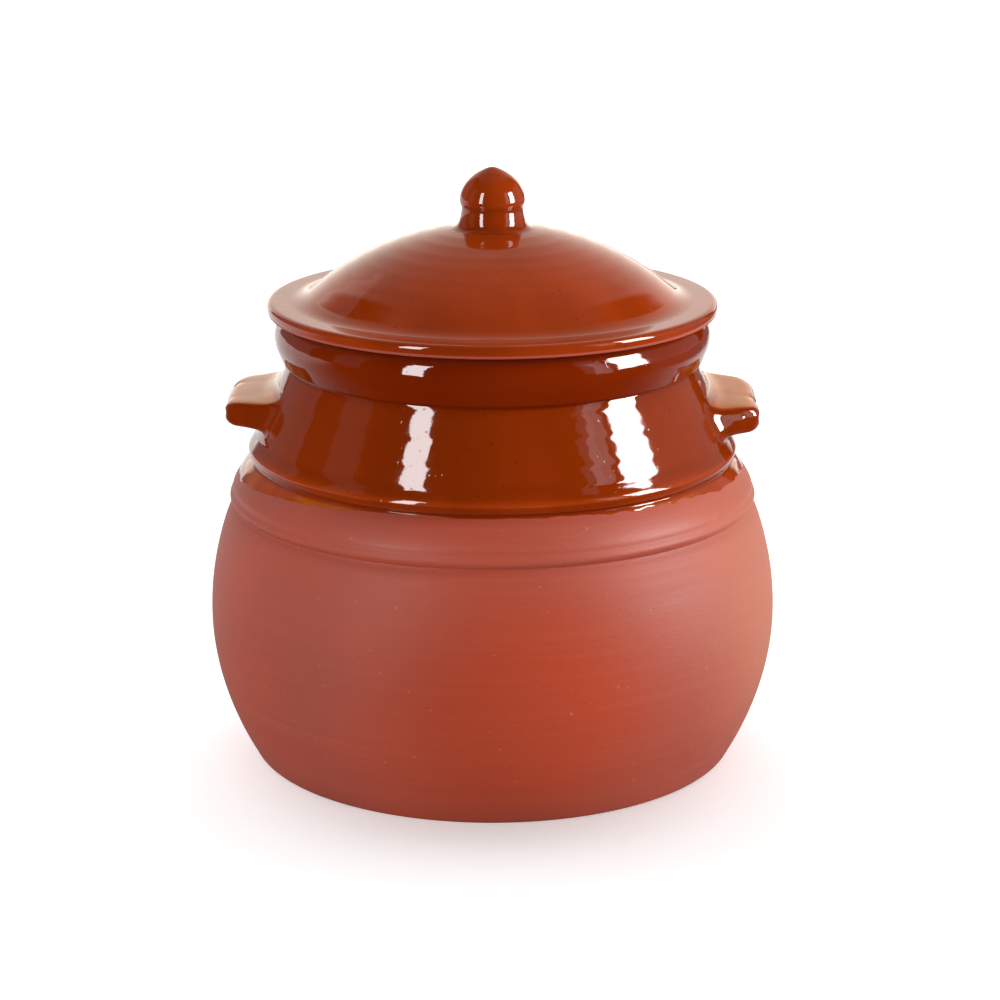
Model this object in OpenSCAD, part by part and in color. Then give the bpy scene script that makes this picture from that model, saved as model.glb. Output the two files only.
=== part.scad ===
// Lidded clay cooking pot: a thrown vessel that is glazed inside and over its neck, two lug
// handles luted to the neck, and a domed lid with a knob that rests loose on the rim.
// Millimetres. Z is the pot's axis and points up, the origin is the middle of the base and the
// handles lie along X. Every radius and height below is of the clay, before its glaze.

/* [Belly] */
// Diameter of the base, measured to the corner that is then rounded
base_d = 229.6; // [210:0.2:250]
// Rounding of the base's corner
base_round = 2; // [0.5:0.5:6]
// Diameter of the belly at its widest ring
belly_d = 270; // [256:1:290]
// Height of the widest ring above the base
belly_low_h = 68.5; // [50:0.5:90]
// Height from the widest ring to the crease under the shoulder
belly_high_h = 56; // [40:0.5:75]
// Thickness of the thrown wall
wall_t = 6.5; // [4:0.5:9]
// Thickness of the floor
floor_t = 8; // [5:0.5:14]
// Rounding inside, between the floor and the wall
inside_round = 14; // [6:1:25]

/* [Shoulder] */
// Diameter of the shoulder at its lower edge
shoulder_d = 250; // [244:0.5:262]
// How far the crease is cut in under the shoulder
crease_depth = 1.7; // [0.5:0.1:4]
// Height of the rounded edge between the crease and the shoulder
crease_h = 2.9; // [1.5:0.1:6]
// Height of the shoulder, from its lower edge to the groove under the ridge
shoulder_h = 17; // [12:0.5:25]
// How far the shoulder swells out past a straight cone
shoulder_bulge = 1.6; // [0:0.1:3]

/* [Ridge and neck] */
// Diameter of the ridge that runs round the foot of the neck
ridge_d = 230.4; // [224:0.2:236]
// How deep the groove under the ridge is
groove_depth = 2.8; // [0.5:0.1:5]
// Rounding of the ridge's lower edge
ridge_round = 4.2; // [1:0.1:5]
// Height of the ridge
ridge_h = 10.4; // [7:0.1:16]
// How far the foot of the neck is set back from the ridge
ridge_set = 3.6; // [1:0.1:6]
// Height of the neck, from the ridge to the collar
neck_h = 34.2; // [28:0.2:45]
// Thickness of the neck where it meets the collar
neck_wall_t = 5.6; // [4:0.1:9]

/* [Collar and mouth] */
// Diameter of the mouth
mouth_d = 180; // [168:1:186]
// How far the collar stands out from the top of the neck at its widest ring
collar_lip = 6.4; // [4:0.1:10]
// How far the collar's lower edge stands out from the top of the neck
collar_step = 3.2; // [2:0.1:3.8]
// Rounding of the collar's lower edge
collar_edge = 2; // [1:0.1:4]
// Height of the collar
collar_h = 22.9; // [19:0.1:32]
// Height of the collar's widest ring above its lower edge
collar_low_h = 11.8; // [8:0.1:15]
// Height over which the collar turns upright below its widest ring
collar_turn = 2.5; // [0.5:0.1:4]
// Rounding of the rim's outer edge
rim_round = 5; // [2:0.5:6]
// Rounding of the rim's inner edge
mouth_round = 2.5; // [1:0.5:4]

/* [Glaze] */
// Thickness of the glaze
glaze_t = 0.4; // [0.2:0.05:0.55]
// How far the glaze runs down the shoulder, below the groove
glaze_drop = 5; // [3:0.5:11]

/* [Handles] */
// Width of a handle along the neck
lug_w = 55; // [40:1:70]
// Thickness of a handle
lug_t = 10.5; // [8:0.5:14]
// How far a handle reaches out from the neck
lug_reach = 21; // [16:0.2:30]
// Height of a handle's middle above the foot of the neck
lug_up = 13.4; // [12:0.2:20]
// Rounding where a handle is worked into the neck
lug_fillet = 7; // [3:0.5:8]
// Rounding of a handle's outer edge, seen from the side
lug_edge = 4.2; // [2:0.1:4.6]
// Rounding of a handle's outer corners, seen from above
lug_corner = 8; // [3:0.5:14]
// Fingertip presses along a handle's outer edge
lug_presses = 3; // [1:1:5]
// Depth of the notches between the presses
press_depth = 1.8; // [0:0.1:4]
// How deep a handle is rooted in the clay of the neck
lug_root = 2.5; // [1:0.1:3.5]

/* [Lid] */
// How far the lid's edge stands out past the collar
lid_overhang = 3.2; // [0:0.1:6]
// Thickness of the lid's flat rim
lid_rim_t = 5.6; // [4.2:0.1:9]
// Rounding of the flat rim's upper edge
lid_edge_top = 2.6; // [0.5:0.1:3]
// Rounding of the flat rim's lower edge
lid_edge_low = 1.2; // [0.3:0.1:2]
// How far the foot of the dome lies outside the ring that hangs in the mouth
dome_set = 1.9; // [-3:0.1:6]
// Height of the dome above the flat rim
dome_h = 34.4; // [25:0.1:50]
// Rounding between the dome and the flat rim
dome_fillet = 6; // [2:0.5:8]
// Thickness of the dome
dome_t = 6; // [4:0.5:9]
// How far the ring under the lid hangs into the mouth
skirt_h = 8; // [4:0.5:14]
// Thickness of that ring
skirt_t = 6; // [4:0.5:9]
// Play of that ring in the glazed mouth, all round
lid_play = 2.5; // [0.5:0.1:5]

/* [Knob] */
// Diameter of the knob where it is luted to the dome
knob_foot_d = 33.4; // [30:0.2:44]
// Diameter of the knob's stem at its narrowest
knob_stem_d = 28.7; // [22:0.1:34]
// Diameter of the knob's cap
knob_cap_d = 30.6; // [26:0.2:44]
// Height of the stem, up to its narrowest ring
knob_stem_h = 10.6; // [6:0.1:16]
// Height from the narrowest ring to the cap's widest ring
knob_swell_h = 3; // [1.5:0.1:6]
// Height of the cap above its widest ring
knob_cap_h = 15.4; // [9:0.1:24]
// How far below its tip the cap's round top begins
knob_crown = 4.8; // [1:0.1:8]
// How far the cap has drawn in where its round top begins
knob_draw = 0.9; // [0:0.1:4]

/* [Hidden] */
$fn = 180;
// Straight pieces that stand for each long curve of a profile, and for each small rounding
curve_steps = 8;
round_steps = 4;
// Straight pieces across a handle, and round each of its rounded edges
lug_steps = 20;
edge_steps = 4;
// Squareness of a handle's section: 2 is an ellipse
lug_square = 4;
// Least height of the flat that is left at a handle's tip
tip_flat = 0.6;
// How deep the thin edge of a handle's fillet is worked into the clay
lug_bite = 0.3;

clay_colour = [0.63, 0.29, 0.21];
glaze_colour = [0.46, 0.15, 0.02];

// The point at a share t of the curve that leaves a towards b and comes to c from b
function bend_at(a, b, c, t) = (1 - t) * (1 - t) * a + 2 * t * (1 - t) * b + t * t * c;

// The points of that curve after the share t0, up to the share t1
function bend(a, b, c, t0 = 0, t1 = 1, steps = curve_steps) =
    [for (i = [1:steps]) bend_at(a, b, c, t0 + (t1 - t0) * i / steps)];

// The points of a small rounding that leaves a towards the corner b and ends at c
function rounding(a, b, c) = bend(a, b, c, steps = round_steps);

// The unit normal to the right of the way from a to b
function right_of(a, b) = [b.y - a.y, a.x - b.x] / norm(b - a);

// The path with each point moved to its right, so that every stretch moves by t
function shifted(path, t) =
    let (last = len(path) - 1)
    [for (i = [0:last])
        let (before = right_of(path[max(i, 1) - 1], path[max(i, 1)]),
             after = right_of(path[min(i, last - 1)], path[min(i, last - 1) + 1]))
        path[i] + t * (before + after) / (1 + before * after)];

function reversed(path) = [for (i = [len(path) - 1:-1:0]) path[i]];

// The section of a coat of thickness t on the right of a path
function coat(path, t) = concat(path, reversed(shifted(path, t)));

// Places on the outside of the clay, as [radius, height], from the base to the rim
base_corner = [base_d / 2, 0];
base_flat = [base_d / 2 - base_round, 0];
widest = [belly_d / 2, belly_low_h];
belly_lead = [widest.x, widest.y / 2];
base_share = base_round / belly_low_h;
base_edge = bend_at(base_corner, belly_lead, widest, base_share);
crease = [shoulder_d / 2 - crease_depth, widest.y + belly_high_h];
crease_lead = [widest.x, (widest.y + crease.y) / 2];
shoulder = [shoulder_d / 2, crease.y + crease_h];
groove = [ridge_d / 2 - groove_depth, shoulder.y + shoulder_h];
shoulder_lead = (shoulder + groove) / 2 + [2 * shoulder_bulge, 0];
ridge = [ridge_d / 2, groove.y + ridge_round];
neck_foot = [ridge_d / 2 - ridge_set, groove.y + ridge_h];
ridge_lead = [ridge.x, (ridge.y + neck_foot.y) / 2];
neck_top = [mouth_d / 2 + neck_wall_t, neck_foot.y + neck_h];
collar_foot = [neck_top.x + collar_step, neck_top.y + collar_edge];
collar = [neck_top.x + collar_lip, neck_top.y + collar_low_h];
rim_z = neck_top.y + collar_h;
rim_out = [collar.x - rim_round, rim_z];

// Places on the inside of the clay, from the rim to the floor
rim_in = [mouth_d / 2 + mouth_round, rim_z];
mouth_edge = [mouth_d / 2, rim_z - mouth_round];
mouth_low = [mouth_d / 2, neck_top.y];
neck_in = [neck_foot.x - wall_t, neck_foot.y];
groove_in = [groove.x - wall_t, groove.y];
ridge_in = (neck_in + groove_in) / 2;
crease_in = [crease.x - wall_t, crease.y];
widest_in = [widest.x - wall_t, widest.y];
crease_in_lead = [widest_in.x, crease_lead.y];
base_in = [base_corner.x - wall_t, 0];
belly_in_lead = [widest_in.x, belly_lead.y];
floor_share = floor_t / belly_low_h;
round_share = (floor_t + inside_round) / belly_low_h;
floor_corner = bend_at(base_in, belly_in_lead, widest_in, floor_share);
floor_edge = bend_at(base_in, belly_in_lead, widest_in, round_share);
floor_flat = [floor_corner.x - inside_round, floor_t];

// The glaze starts on the shoulder, at this share of its curve
glaze_share = 1 - glaze_drop / shoulder_h;
glaze_line = bend_at(shoulder, shoulder_lead, groove, glaze_share);

// The bare clay, from the middle of the base up to the glaze line
bare_path = concat(
    [[0, 0], base_flat],
    rounding(base_flat, base_corner, base_edge),
    bend(base_corner, belly_lead, widest, base_share),
    bend(widest, crease_lead, crease),
    rounding(crease, [shoulder.x, crease.y], shoulder),
    bend(shoulder, shoulder_lead, groove, 0, glaze_share)
);

// The clay under the glaze outside, from the glaze line up to the flat of the rim
neck_path = concat(
    bend(shoulder, shoulder_lead, groove, glaze_share, 1, round_steps),
    rounding(groove, [ridge.x, groove.y], ridge),
    bend(ridge, ridge_lead, neck_foot),
    [neck_top],
    rounding(neck_top, [collar_foot.x, neck_top.y], collar_foot),
    bend(collar_foot, collar - [0, collar_turn], collar),
    bend(collar, [collar.x, rim_z], rim_out)
);

// The clay under the glaze inside, from the flat of the rim down to the middle of the floor
inside_path = concat(
    [rim_in],
    rounding(rim_in, [mouth_edge.x, rim_z], mouth_edge),
    [mouth_low],
    bend(mouth_low, neck_in, ridge_in),
    bend(ridge_in, groove_in, crease_in),
    bend(crease_in, crease_in_lead, widest_in),
    bend(base_in, belly_in_lead, widest_in, 1, round_share),
    bend(floor_edge, floor_corner, floor_flat),
    [[0, floor_t]]
);

// The handles: the cone of the neck that they are worked into, and their middle and tip
lug_z = neck_foot.y + lug_up;
function neck_r(z) =
    neck_foot.x + (neck_top.x - neck_foot.x) * (z - neck_foot.y) / (neck_top.y - neck_foot.y);
function wall_x(y, z) = sqrt(pow(neck_r(z), 2) - y * y);
press_w = lug_w / lug_presses;
press_phase = lug_presses % 2 == 1 ? 0 : 90;
function tip_x(y) =
    neck_r(lug_z) + lug_reach - press_depth * (1 - abs(cos(180 * y / press_w + press_phase)));

// One ring of points round a handle of half width a and half thickness b, at a share s of the
// way from the wall to the tip, and sunk below the wall's face
function lug_ring(s, sunk, a, b) = [for (i = [0:2 * lug_steps - 1])
    let (turn = 180 * i / lug_steps,
         y = a * cos(turn),
         swell = pow(1 - pow(abs(cos(turn)), lug_square), 1 / lug_square),
         z = lug_z + sign(sin(turn)) * b * swell,
         wall = wall_x(y, z) - sunk)
    [wall + s * (tip_x(y) - wall), y, z]];

// The tip's rounding, which the handle's thickness limits
tip_round = min(lug_edge, (lug_t - tip_flat) / 2);

// All the rings: the root in the clay, the fillet on the wall and the rounded tip
lug_rings = concat(
    [lug_ring(0, lug_root, lug_w / 2 + lug_fillet, lug_t / 2 + lug_fillet)],
    [for (i = [0:edge_steps])
        let (turn = 90 * i / edge_steps, flare = lug_fillet * (1 - sin(turn)))
        lug_ring(lug_fillet * (1 - cos(turn)) / lug_reach, lug_bite * cos(turn),
                 lug_w / 2 + flare, lug_t / 2 + flare)],
    [for (i = [0:edge_steps])
        let (turn = 90 * i / edge_steps, inset = 1 - cos(turn))
        lug_ring(1 - tip_round * (1 - sin(turn)) / lug_reach, 0,
                 lug_w / 2 - lug_corner * inset, lug_t / 2 - tip_round * inset)]
);

// Triangles that close one ring of n points, as strips between its upper and lower half
function lug_cap(n) = concat(
    [[0, 1, n - 1], [n / 2 - 1, n / 2, n / 2 + 1]],
    [for (i = [1:n / 2 - 2]) each [[i, i + 1, n - i - 1], [i, n - i - 1, n - i]]]
);

// The lid: heights of its flat rim, its dome's sphere and its knob
lid_z = rim_z + glaze_t;
lid_top_z = lid_z + lid_rim_t;
lid_r = collar.x + lid_overhang;
skirt_r = mouth_d / 2 - glaze_t - lid_play;
dome_foot = [skirt_r + dome_set, lid_top_z];
dome_r = (pow(dome_foot.x, 2) + pow(dome_h, 2)) / (2 * dome_h);
dome_z = lid_top_z + dome_h - dome_r;
knob_z = dome_z + sqrt(pow(dome_r, 2) - pow(knob_foot_d / 2, 2));

// Points of a sphere's section about the dome's centre, from one angle above level to another
function dome_arc(r, a0, a1) = [for (i = [0:curve_steps])
    let (a = a0 + (a1 - a0) * i / curve_steps)
    [r * cos(a), dome_z + r * sin(a)]];

// The dome starts where its fillet ends, and stops at the knob
fillet_angle = acos(dome_foot.x / dome_r) + dome_fillet / dome_r * 180 / PI;
knob_angle = acos(knob_foot_d / 2 / dome_r);
fillet_end = dome_arc(dome_r, fillet_angle, knob_angle)[0];

// The glazed face of the lid, from the lower edge of its flat rim up to the knob
lid_path = concat(
    [[lid_r, lid_z + lid_edge_low], [lid_r, lid_top_z - lid_edge_top]],
    rounding([lid_r, lid_top_z - lid_edge_top], [lid_r, lid_top_z], [lid_r - lid_edge_top, lid_top_z]),
    [dome_foot + [dome_fillet, 0]],
    bend(dome_foot + [dome_fillet, 0], dome_foot, fillet_end),
    [for (i = [1:curve_steps]) dome_arc(dome_r, fillet_angle, knob_angle)[i]]
);

// The bare underside of the lid, from its middle down round the ring and out to that edge
hollow_r = dome_r - dome_t;
hollow_angle = acos((skirt_r - skirt_t) / hollow_r);
lid_under_path = concat(
    dome_arc(hollow_r, 90, hollow_angle),
    [[skirt_r - skirt_t, lid_z - skirt_h], [skirt_r, lid_z - skirt_h], [skirt_r, lid_z]],
    [[lid_r - lid_edge_low, lid_z]],
    rounding([lid_r - lid_edge_low, lid_z], [lid_r, lid_z], [lid_r, lid_z + lid_edge_low])
);

// The knob, from the middle of its foot to its tip
knob_foot = [knob_foot_d / 2, knob_z];
knob_stem = [knob_stem_d / 2, knob_z + knob_stem_h];
knob_stem_lead = [knob_stem.x, (knob_foot.y + knob_stem.y) / 2];
knob_swell = [knob_cap_d / 2, knob_stem.y + knob_swell_h];
knob_tip = [0, knob_swell.y + knob_cap_h];
knob_top_lead = [knob_swell.x - knob_draw, knob_tip.y - knob_crown];
knob_path = concat(
    [[0, knob_z], knob_foot],
    bend(knob_foot, knob_stem_lead, knob_stem),
    rounding(knob_stem, [knob_swell.x, knob_stem.y], knob_swell),
    bend(knob_swell, knob_top_lead, knob_tip)
);

// A path without its first point, to follow on from a path that ends there
function rest(path) = [for (i = [1:len(path) - 1]) path[i]];

// A solid turned from its section
module turned(section) {
    rotate_extrude() polygon(section);
}

// A handle on the right, with its root still in the clay of the neck
module lug_blank() {
    ring_n = 2 * lug_steps;
    far = (len(lug_rings) - 1) * ring_n;
    points = [for (ring = lug_rings) each ring];
    sides = [for (k = [0:len(lug_rings) - 2], i = [0:ring_n - 1])
        let (a = k * ring_n + i, b = k * ring_n + (i + 1) % ring_n)
        each [[a, b, a + ring_n], [b, b + ring_n, a + ring_n]]];
    far_cap = [for (f = lug_cap(ring_n)) [f[2] + far, f[1] + far, f[0] + far]];
    polyhedron(points, concat(sides, lug_cap(ring_n), far_cap));
}

// A handle on the right, cut to the face of the neck that it sits on
module lug() {
    difference() {
        lug_blank();
        turned(concat([[0, glaze_line.y], glaze_line], neck_path, [[0, rim_z]]));
    }
}

module pot_body() {
    color(clay_colour) turned(concat(bare_path, neck_path, inside_path));
}

module pot_glaze() {
    color(glaze_colour) difference() {
        turned(coat(concat([glaze_line], neck_path, inside_path), glaze_t));
        lug_blank();
        mirror([1, 0, 0]) lug_blank();
    }
}

module left_handle() {
    color(glaze_colour) mirror([1, 0, 0]) lug();
}

module right_handle() {
    color(glaze_colour) lug();
}

module lid_body() {
    color(clay_colour) turned(concat(lid_under_path, rest(lid_path), [[0, knob_z]]));
}

module lid_glaze() {
    color(glaze_colour) turned(coat(lid_path, glaze_t));
}

module lid_knob() {
    color(glaze_colour) turned(knob_path);
}

pot_body();
pot_glaze();
left_handle();
right_handle();
lid_body();
lid_glaze();
lid_knob();
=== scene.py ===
# %% [markdown]
# # A lidded clay cooking pot
# The real pot is thrown on a wheel from red clay, fired, and dipped in a honey-coloured glaze
# that covers its inside, its collar and its neck. The belly stays bare. Two lugs are pressed on
# by hand, and a domed lid with a knob lies loose on the rim.
# A CAD model already holds every size, so this lesson reads its sections and dresses them: fine
# thrown surfaces, a running glaze edge, finger-pressed lugs and the two finishes.

# %% Load the CAD model as a fixed frame
import math

import bmesh
import bpy
import numpy as np
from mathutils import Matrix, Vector
from mathutils.bvhtree import BVHTree


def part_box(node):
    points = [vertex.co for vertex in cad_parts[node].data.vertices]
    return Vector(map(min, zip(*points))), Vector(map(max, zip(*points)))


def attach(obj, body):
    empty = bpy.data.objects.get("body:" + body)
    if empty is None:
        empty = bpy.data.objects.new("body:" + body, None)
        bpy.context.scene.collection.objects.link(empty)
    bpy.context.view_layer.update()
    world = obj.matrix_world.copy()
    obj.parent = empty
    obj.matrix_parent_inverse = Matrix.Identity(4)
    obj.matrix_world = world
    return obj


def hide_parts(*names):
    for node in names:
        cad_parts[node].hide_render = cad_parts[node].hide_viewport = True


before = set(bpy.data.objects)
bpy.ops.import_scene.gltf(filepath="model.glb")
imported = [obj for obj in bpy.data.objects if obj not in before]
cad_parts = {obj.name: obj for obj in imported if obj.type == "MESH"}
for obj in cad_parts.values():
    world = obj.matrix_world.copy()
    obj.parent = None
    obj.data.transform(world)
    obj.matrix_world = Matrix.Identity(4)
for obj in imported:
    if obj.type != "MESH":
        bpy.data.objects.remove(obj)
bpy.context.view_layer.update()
MM = 0.001
print("nodes:", ", ".join(sorted(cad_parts)))

# %% [markdown]
# ## The camera
# A camera could be placed by eye, but the picture's proportions give it better: the ellipses of
# the rim and the base tell how far the view looks down, and how they differ tells how near the
# lens is. The focal length is written in pixels, and then turned into Blender's millimetres.

# %% Camera
PICTURE_SIDE = 1000
FOCAL_PIXELS = 2800
CAMERA_DISTANCE = 1.288
CAMERA_HEIGHT = 0.4872
CAMERA_DOWN = math.radians(15.94)
POT_LEFT_OF_MIDDLE = 3.6 * MM
SENSOR = 36.0


def put(name, data):
    """Puts an object with this camera, lamp or mesh in the scene."""
    thing = bpy.data.objects.new(name, data)
    bpy.context.scene.collection.objects.link(thing)
    return thing


camera_data = bpy.data.cameras.new("photo_camera")
camera_data.sensor_width = SENSOR
camera_data.lens = SENSOR * FOCAL_PIXELS / PICTURE_SIDE
camera = put("photo_camera", camera_data)
camera.location = (POT_LEFT_OF_MIDDLE, -CAMERA_DISTANCE, CAMERA_HEIGHT)
camera.rotation_euler = (math.pi / 2 - CAMERA_DOWN, 0, 0)
bpy.context.scene.camera = camera
bpy.context.scene.view_settings.view_transform = "Standard"
print("lens %.1f mm, looking down %.1f degrees" % (camera_data.lens, math.degrees(CAMERA_DOWN)))

# %% [markdown]
# ## Small helpers for node trees
# Materials, the world and Geometry Nodes are all node trees. A few helpers keep their code short:
# one adds a node and sets or links its inputs by name, and the others add sums, eases and splits.
# A socket knows its tree, so those that work on an output ask it. Where one named value sets a
# whole ease, it is written as (low, high, start, end).

# %% Node helpers
def in_use(sockets, name=None):
    """The first socket that a node's settings leave on, of this name if one is given."""
    return next(s for s in sockets if s.enabled and name in (None, s.name))


def add(tree, kind, inputs=None, **settings):
    """Adds a node, sets its properties, and sets each input to a number or links it to an output."""
    node = tree.nodes.new(kind)
    for name, value in settings.items():
        setattr(node, name, value)
    for name, value in (inputs or {}).items():
        socket = node.inputs[name] if isinstance(name, int) else in_use(node.inputs, name)
        if isinstance(value, bpy.types.NodeSocket):
            tree.links.new(value, socket)
        else:
            socket.default_value = value
    return node


def sums(operation, *values):
    """Adds a Math node on numbers and at least one output, and returns its output."""
    tree = next(v.id_data for v in values if isinstance(v, bpy.types.NodeSocket))
    return add(tree, "ShaderNodeMath", dict(enumerate(values)), operation=operation).outputs[0]


def times(first, *others):
    """Multiplies an output by others or by numbers, one after another."""
    for value in others:
        first = sums("MULTIPLY", first, value)
    return first


def parts(vector):
    """Splits a vector, and returns the outputs X, Y and Z."""
    return add(vector.id_data, "ShaderNodeSeparateXYZ", {"Vector": vector}).outputs


def ease(value, low, high, start=0.0, end=1.0):
    """Adds a Map Range node that eases from start to end as the value goes from low to high."""
    inputs = {"Value": value, "From Min": low, "From Max": high, "To Min": start, "To Max": end}
    node = add(value.id_data, "ShaderNodeMapRange", inputs, interpolation_type="SMOOTHSTEP")
    return node.outputs["Result"]


def emptied(owner):
    """Switches the nodes of a material or a world on, and returns its tree with nothing in it."""
    owner.use_nodes = True
    owner.node_tree.nodes.clear()
    return owner.node_tree


print("node helpers ready")

# %% [markdown]
# ## The studio
# Glossy glaze is a mirror of the room, so the room is part of the likeness. The highlights on
# the neck and the knob show what stood there: a tall narrow softbox at the front left, a wide one
# at the right, a white backdrop behind, white overhead and a dark room in front.
# Directions are given as seen from the pot: azimuth 0 is towards the camera and grows to the
# right. The floor is white paper that keeps the shadow.

# %% Floor
FLOOR_SIDE = 12.0
FLOOR_COLOUR = (0.82, 0.82, 0.82, 1.0)
UNLIT = (0.0, 0.0, 0.0, 1.0)
# How much of the mirrored paper is hidden in front of the pot and at its right.
HIDDEN_FRONT = (-0.15, 0.4, 1.0, 0.25)
HIDDEN_RIGHT = (0.3, 0.65, 0.0, 0.9)
FLOOR_LIFT = (0.2, 1.2, 0.5, 0.8)
FLOOR_BOUNCE = 0.6


def blend_colours(factor, first, second):
    """Adds a colour Mix node and returns its output."""
    inputs = {"Factor": factor, "A": first, "B": second}
    return in_use(add(factor.id_data, "ShaderNodeMix", inputs, data_type="RGBA").outputs)


def white_paper():
    """Paper that the camera sees a little lighter, more so far behind, where the lamps don't reach,
    and that throws light back up. The glaze mirrors it dimmer, and only as far as the sheet lies."""
    material = bpy.data.materials.new("white_paper")
    tree = emptied(material)
    path = add(tree, "ShaderNodeLightPath").outputs
    place = parts(add(tree, "ShaderNodeTexCoord").outputs["Object"])
    hidden = sums("MAXIMUM", ease(place["Y"], *HIDDEN_FRONT), ease(place["X"], *HIDDEN_RIGHT))
    hidden = times(hidden, path["Is Glossy Ray"])
    colour = blend_colours(hidden, FLOOR_COLOUR, UNLIT)
    paper = add(tree, "ShaderNodeBsdfDiffuse", {"Color": colour})
    mirrored_paper = sums("SUBTRACT", path["Is Glossy Ray"], hidden)
    seen = sums("MAXIMUM", path["Is Camera Ray"], mirrored_paper)
    lift = times(ease(place["Y"], *FLOOR_LIFT), seen)
    bounce = times(path["Is Diffuse Ray"], FLOOR_BOUNCE)
    glow = add(tree, "ShaderNodeEmission", {"Strength": sums("ADD", lift, bounce)})
    both = add(tree, "ShaderNodeAddShader", {0: paper.outputs[0], 1: glow.outputs[0]})
    add(tree, "ShaderNodeOutputMaterial", {"Surface": both.outputs[0]})
    return material


half = FLOOR_SIDE / 2
corners = [(-half, -half, 0), (half, -half, 0), (half, half, 0), (-half, half, 0)]
sheet = bpy.data.meshes.new("floor")
sheet.from_pydata(corners, [], [(0, 1, 2, 3)])
sheet.materials.append(white_paper())
floor = put("floor", sheet)
print("floor of %.0f m" % FLOOR_SIDE)

# %% World
AMBIENT = (-0.3, 0.4, 0.12, 1.92)
SWEEP_COLOUR = (1.0, 0.95, 0.83, 1.0)
WHITE = (1.0, 1.0, 1.0, 1.0)
SWEEP_FADE = 0.52
SWEEP_WIDTH = (0.45, 0.53, 1.85, 0.0)
SWEEP_END = (1.5, 2.1, 1.0, 0.0)


def light_the_world():
    """White for the camera, soft light from behind for matt surfaces, and for the glaze a strip of
    white paper that hangs behind the pot and curves over it, fading as it climbs."""
    world = bpy.data.worlds.new("studio")
    bpy.context.scene.world = world
    tree = emptied(world)
    path = add(tree, "ShaderNodeLightPath").outputs
    way = parts(add(tree, "ShaderNodeTexCoord").outputs["Generated"])
    climb = sums("ARCTAN2", sums("ABSOLUTE", way["Z"]), way["Y"])
    fade = sums("MINIMUM", sums("EXPONENT", sums("DIVIDE", climb, -SWEEP_FADE)), 1.0)
    width = ease(sums("ABSOLUTE", way["X"]), *SWEEP_WIDTH)
    sweep = times(fade, width, ease(climb, *SWEEP_END))
    soft = ease(way["Y"], *AMBIENT)
    seen = sums("MAXIMUM", path["Is Camera Ray"], path["Is Transmission Ray"])
    room = add(tree, "ShaderNodeMix", {"Factor": path["Is Glossy Ray"], "A": soft, "B": sweep})
    strength = add(tree, "ShaderNodeMix", {"Factor": seen, "A": room.outputs[0], "B": 1.0})
    colour = blend_colours(path["Is Glossy Ray"], WHITE, SWEEP_COLOUR)
    sky = add(tree, "ShaderNodeBackground", {"Color": colour, "Strength": strength.outputs[0]})
    add(tree, "ShaderNodeOutputWorld", {"Surface": sky.outputs[0]})


light_the_world()
print("world: soft light of %.2f in front, %.2f behind" % AMBIENT[2:])

# %% Softboxes
LAMP_HEART = 0.18
WATTS_PER_GLOW = 4.0
NOT_THE_FLOOR = bpy.data.collections.new("not_the_floor")
NOT_THE_FLOOR.objects.link(floor)
NOT_THE_FLOOR.collection_objects[0].light_linking.link_state = "EXCLUDE"


def softbox(name, azimuths, elevations, distance, glow, lights):
    """A rectangle of light that fills these azimuths and elevations, seen from the pot.
    It lights everything but the floor, so that the paper keeps only the soft shadow from behind.
    A pale wall is made the same way, and is only mirrored: it doesn't light anything."""
    left, right = (math.radians(a) for a in azimuths)
    low, high = (distance * math.tan(math.radians(e)) for e in elevations)
    middle = (left + right) / 2
    data = bpy.data.lights.new(name, "AREA")
    data.shape = "RECTANGLE"
    data.size = 2 * distance * math.tan((right - left) / 2)
    data.size_y = high - low
    data.energy = WATTS_PER_GLOW * data.size * data.size_y * glow
    lamp = put(name, data)
    height = LAMP_HEART + (low + high) / 2
    lamp.location = (distance * math.sin(middle), -distance * math.cos(middle), height)
    lamp.rotation_euler = (math.pi / 2, 0, middle)
    lamp.visible_camera = False
    lamp.visible_diffuse = lights
    lamp.light_linking.receiver_collection = NOT_THE_FLOOR


softbox("left_strip", (-45.5, -34), (0, 38), 1.7, 12.0, True)
softbox("right_strip", (66, 85), (0, 33), 1.5, 19.0, True)
softbox("right_flap", (52, 62), (-4, 34), 1.6, 1.0, False)
softbox("right_haze", (47, 57), (0, 40), 1.7, 0.3, False)
softbox("right_wall", (87, 135), (-2, 33), 1.6, 0.22, False)
softbox("left_wall", (-88, -70), (0, 40), 1.6, 0.14, False)
softbox("left_far_wall", (-150, -107), (0, 40), 1.6, 0.15, False)
print("lamps:", [lamp.name for lamp in bpy.data.lights])
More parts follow.
